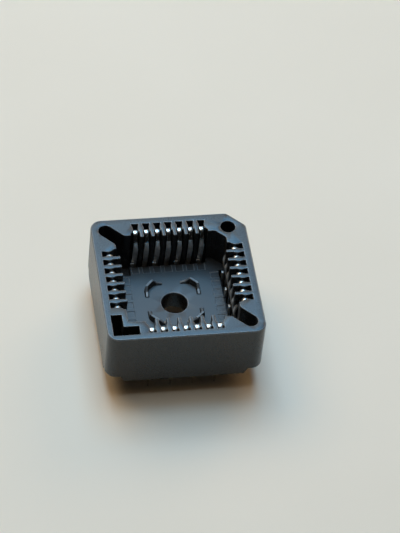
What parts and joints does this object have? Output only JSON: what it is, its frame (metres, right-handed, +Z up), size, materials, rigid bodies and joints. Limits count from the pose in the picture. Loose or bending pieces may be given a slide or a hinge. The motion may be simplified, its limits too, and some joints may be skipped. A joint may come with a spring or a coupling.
{
  "type": "plcc socket",
  "caption": "Square moulded socket for a J-leaded chip carrier, with sprung tin-plated contacts in slotted walls, a bevelled polarity corner, tool slots and solder tails.",
  "frame": {"origin": "centre of the socket on the face that rests on the board, on the axis of the centre hole", "axes": "+Z up out of the board, +X and +Y along the sides, the bevelled polarity corner at +X +Y"},
  "size_m": [0.0178, 0.0178, 0.0099],
  "materials": {
    "housing_plastic": "fine moulded grain, glass-filled",
    "contact_tin": "bright tin plating over copper alloy strip"
  },
  "bodies": {
    "socket": {"housing": "housing_plastic", "contact_01_tail": "contact_tin", "contact_02_tail": "contact_tin", "contact_03_tail": "contact_tin", "contact_04_tail": "contact_tin", "contact_05_tail": "contact_tin", "contact_06_tail": "contact_tin", "contact_07_tail": "contact_tin", "contact_08_tail": "contact_tin", "contact_09_tail": "contact_tin", "contact_10_tail": "contact_tin", "contact_11_tail": "contact_tin", "contact_12_tail": "contact_tin", "contact_13_tail": "contact_tin", "contact_14_tail": "contact_tin", "contact_15_tail": "contact_tin", "contact_16_tail": "contact_tin", "contact_17_tail": "contact_tin", "contact_18_tail": "contact_tin", "contact_19_tail": "contact_tin", "contact_20_tail": "contact_tin", "contact_21_tail": "contact_tin", "contact_22_tail": "contact_tin", "contact_23_tail": "contact_tin", "contact_24_tail": "contact_tin", "contact_25_tail": "contact_tin", "contact_26_tail": "contact_tin", "contact_27_tail": "contact_tin", "contact_28_tail": "contact_tin"},
    "contact_01": {"contact_01_spring": "contact_tin"},
    "contact_02": {"contact_02_spring": "contact_tin"},
    "contact_03": {"contact_03_spring": "contact_tin"},
    "contact_04": {"contact_04_spring": "contact_tin"},
    "contact_05": {"contact_05_spring": "contact_tin"},
    "contact_06": {"contact_06_spring": "contact_tin"},
    "contact_07": {"contact_07_spring": "contact_tin"},
    "contact_08": {"contact_08_spring": "contact_tin"},
    "contact_09": {"contact_09_spring": "contact_tin"},
    "contact_10": {"contact_10_spring": "contact_tin"},
    "contact_11": {"contact_11_spring": "contact_tin"},
    "contact_12": {"contact_12_spring": "contact_tin"},
    "contact_13": {"contact_13_spring": "contact_tin"},
    "contact_14": {"contact_14_spring": "contact_tin"},
    "contact_15": {"contact_15_spring": "contact_tin"},
    "contact_16": {"contact_16_spring": "contact_tin"},
    "contact_17": {"contact_17_spring": "contact_tin"},
    "contact_18": {"contact_18_spring": "contact_tin"},
    "contact_19": {"contact_19_spring": "contact_tin"},
    "contact_20": {"contact_20_spring": "contact_tin"},
    "contact_21": {"contact_21_spring": "contact_tin"},
    "contact_22": {"contact_22_spring": "contact_tin"},
    "contact_23": {"contact_23_spring": "contact_tin"},
    "contact_24": {"contact_24_spring": "contact_tin"},
    "contact_25": {"contact_25_spring": "contact_tin"},
    "contact_26": {"contact_26_spring": "contact_tin"},
    "contact_27": {"contact_27_spring": "contact_tin"},
    "contact_28": {"contact_28_spring": "contact_tin"}
  },
  "joints": [
    {"name": "contact_01_flex", "type": "hinge", "parent": "socket", "child": "contact_01", "pos_m": [0.00659, 0, 0.00162], "axis": [0, 1, 0], "range_deg": [0, 5], "stiffness_Nm_per_rad": 0.028},
    {"name": "contact_02_flex", "type": "hinge", "parent": "socket", "child": "contact_02", "pos_m": [0.00659, 0.00127, 0.00162], "axis": [0, 1, 0], "range_deg": [0, 5], "stiffness_Nm_per_rad": 0.028},
    {"name": "contact_03_flex", "type": "hinge", "parent": "socket", "child": "contact_03", "pos_m": [0.00659, 0.00254, 0.00162], "axis": [0, 1, 0], "range_deg": [0, 5], "stiffness_Nm_per_rad": 0.028},
    {"name": "contact_04_flex", "type": "hinge", "parent": "socket", "child": "contact_04", "pos_m": [0.00659, 0.00381, 0.00162], "axis": [0, 1, 0], "range_deg": [0, 5], "stiffness_Nm_per_rad": 0.028},
    {"name": "contact_05_flex", "type": "hinge", "parent": "socket", "child": "contact_05", "pos_m": [0.00381, 0.00659, 0.00162], "axis": [-1, 0, 0], "range_deg": [0, 5], "stiffness_Nm_per_rad": 0.028},
    {"name": "contact_06_flex", "type": "hinge", "parent": "socket", "child": "contact_06", "pos_m": [0.00254, 0.00659, 0.00162], "axis": [-1, 0, 0], "range_deg": [0, 5], "stiffness_Nm_per_rad": 0.028},
    {"name": "contact_07_flex", "type": "hinge", "parent": "socket", "child": "contact_07", "pos_m": [0.00127, 0.00659, 0.00162], "axis": [-1, 0, 0], "range_deg": [0, 5], "stiffness_Nm_per_rad": 0.028},
    {"name": "contact_08_flex", "type": "hinge", "parent": "socket", "child": "contact_08", "pos_m": [0, 0.00659, 0.00162], "axis": [-1, 0, 0], "range_deg": [0, 5], "stiffness_Nm_per_rad": 0.028},
    {"name": "contact_09_flex", "type": "hinge", "parent": "socket", "child": "contact_09", "pos_m": [-0.00127, 0.00659, 0.00162], "axis": [-1, 0, 0], "range_deg": [0, 5], "stiffness_Nm_per_rad": 0.028},
    {"name": "contact_10_flex", "type": "hinge", "parent": "socket", "child": "contact_10", "pos_m": [-0.00254, 0.00659, 0.00162], "axis": [-1, 0, 0], "range_deg": [0, 5], "stiffness_Nm_per_rad": 0.028},
    {"name": "contact_11_flex", "type": "hinge", "parent": "socket", "child": "contact_11", "pos_m": [-0.00381, 0.00659, 0.00162], "axis": [-1, 0, 0], "range_deg": [0, 5], "stiffness_Nm_per_rad": 0.028},
    {"name": "contact_12_flex", "type": "hinge", "parent": "socket", "child": "contact_12", "pos_m": [-0.00659, 0.00381, 0.00162], "axis": [0, -1, 0], "range_deg": [0, 5], "stiffness_Nm_per_rad": 0.028},
    {"name": "contact_13_flex", "type": "hinge", "parent": "socket", "child": "contact_13", "pos_m": [-0.00659, 0.00254, 0.00162], "axis": [0, -1, 0], "range_deg": [0, 5], "stiffness_Nm_per_rad": 0.028},
    {"name": "contact_14_flex", "type": "hinge", "parent": "socket", "child": "contact_14", "pos_m": [-0.00659, 0.00127, 0.00162], "axis": [0, -1, 0], "range_deg": [0, 5], "stiffness_Nm_per_rad": 0.028},
    {"name": "contact_15_flex", "type": "hinge", "parent": "socket", "child": "contact_15", "pos_m": [-0.00659, 0, 0.00162], "axis": [0, -1, 0], "range_deg": [0, 5], "stiffness_Nm_per_rad": 0.028},
    {"name": "contact_16_flex", "type": "hinge", "parent": "socket", "child": "contact_16", "pos_m": [-0.00659, -0.00127, 0.00162], "axis": [0, -1, 0], "range_deg": [0, 5], "stiffness_Nm_per_rad": 0.028},
    {"name": "contact_17_flex", "type": "hinge", "parent": "socket", "child": "contact_17", "pos_m": [-0.00659, -0.00254, 0.00162], "axis": [0, -1, 0], "range_deg": [0, 5], "stiffness_Nm_per_rad": 0.028},
    {"name": "contact_18_flex", "type": "hinge", "parent": "socket", "child": "contact_18", "pos_m": [-0.00659, -0.00381, 0.00162], "axis": [0, -1, 0], "range_deg": [0, 5], "stiffness_Nm_per_rad": 0.028},
    {"name": "contact_19_flex", "type": "hinge", "parent": "socket", "child": "contact_19", "pos_m": [-0.00381, -0.00659, 0.00162], "axis": [1, 0, 0], "range_deg": [0, 5], "stiffness_Nm_per_rad": 0.028},
    {"name": "contact_20_flex", "type": "hinge", "parent": "socket", "child": "contact_20", "pos_m": [-0.00254, -0.00659, 0.00162], "axis": [1, 0, 0], "range_deg": [0, 5], "stiffness_Nm_per_rad": 0.028},
    {"name": "contact_21_flex", "type": "hinge", "parent": "socket", "child": "contact_21", "pos_m": [-0.00127, -0.00659, 0.00162], "axis": [1, 0, 0], "range_deg": [0, 5], "stiffness_Nm_per_rad": 0.028},
    {"name": "contact_22_flex", "type": "hinge", "parent": "socket", "child": "contact_22", "pos_m": [0, -0.00659, 0.00162], "axis": [1, 0, 0], "range_deg": [0, 5], "stiffness_Nm_per_rad": 0.028},
    {"name": "contact_23_flex", "type": "hinge", "parent": "socket", "child": "contact_23", "pos_m": [0.00127, -0.00659, 0.00162], "axis": [1, 0, 0], "range_deg": [0, 5], "stiffness_Nm_per_rad": 0.028},
    {"name": "contact_24_flex", "type": "hinge", "parent": "socket", "child": "contact_24", "pos_m": [0.00254, -0.00659, 0.00162], "axis": [1, 0, 0], "range_deg": [0, 5], "stiffness_Nm_per_rad": 0.028},
    {"name": "contact_25_flex", "type": "hinge", "parent": "socket", "child": "contact_25", "pos_m": [0.00381, -0.00659, 0.00162], "axis": [1, 0, 0], "range_deg": [0, 5], "stiffness_Nm_per_rad": 0.028},
    {"name": "contact_26_flex", "type": "hinge", "parent": "socket", "child": "contact_26", "pos_m": [0.00659, -0.00381, 0.00162], "axis": [0, 1, 0], "range_deg": [0, 5], "stiffness_Nm_per_rad": 0.028},
    {"name": "contact_27_flex", "type": "hinge", "parent": "socket", "child": "contact_27", "pos_m": [0.00659, -0.00254, 0.00162], "axis": [0, 1, 0], "range_deg": [0, 5], "stiffness_Nm_per_rad": 0.028},
    {"name": "contact_28_flex", "type": "hinge", "parent": "socket", "child": "contact_28", "pos_m": [0.00659, -0.00127, 0.00162], "axis": [0, 1, 0], "range_deg": [0, 5], "stiffness_Nm_per_rad": 0.028}
  ]
}
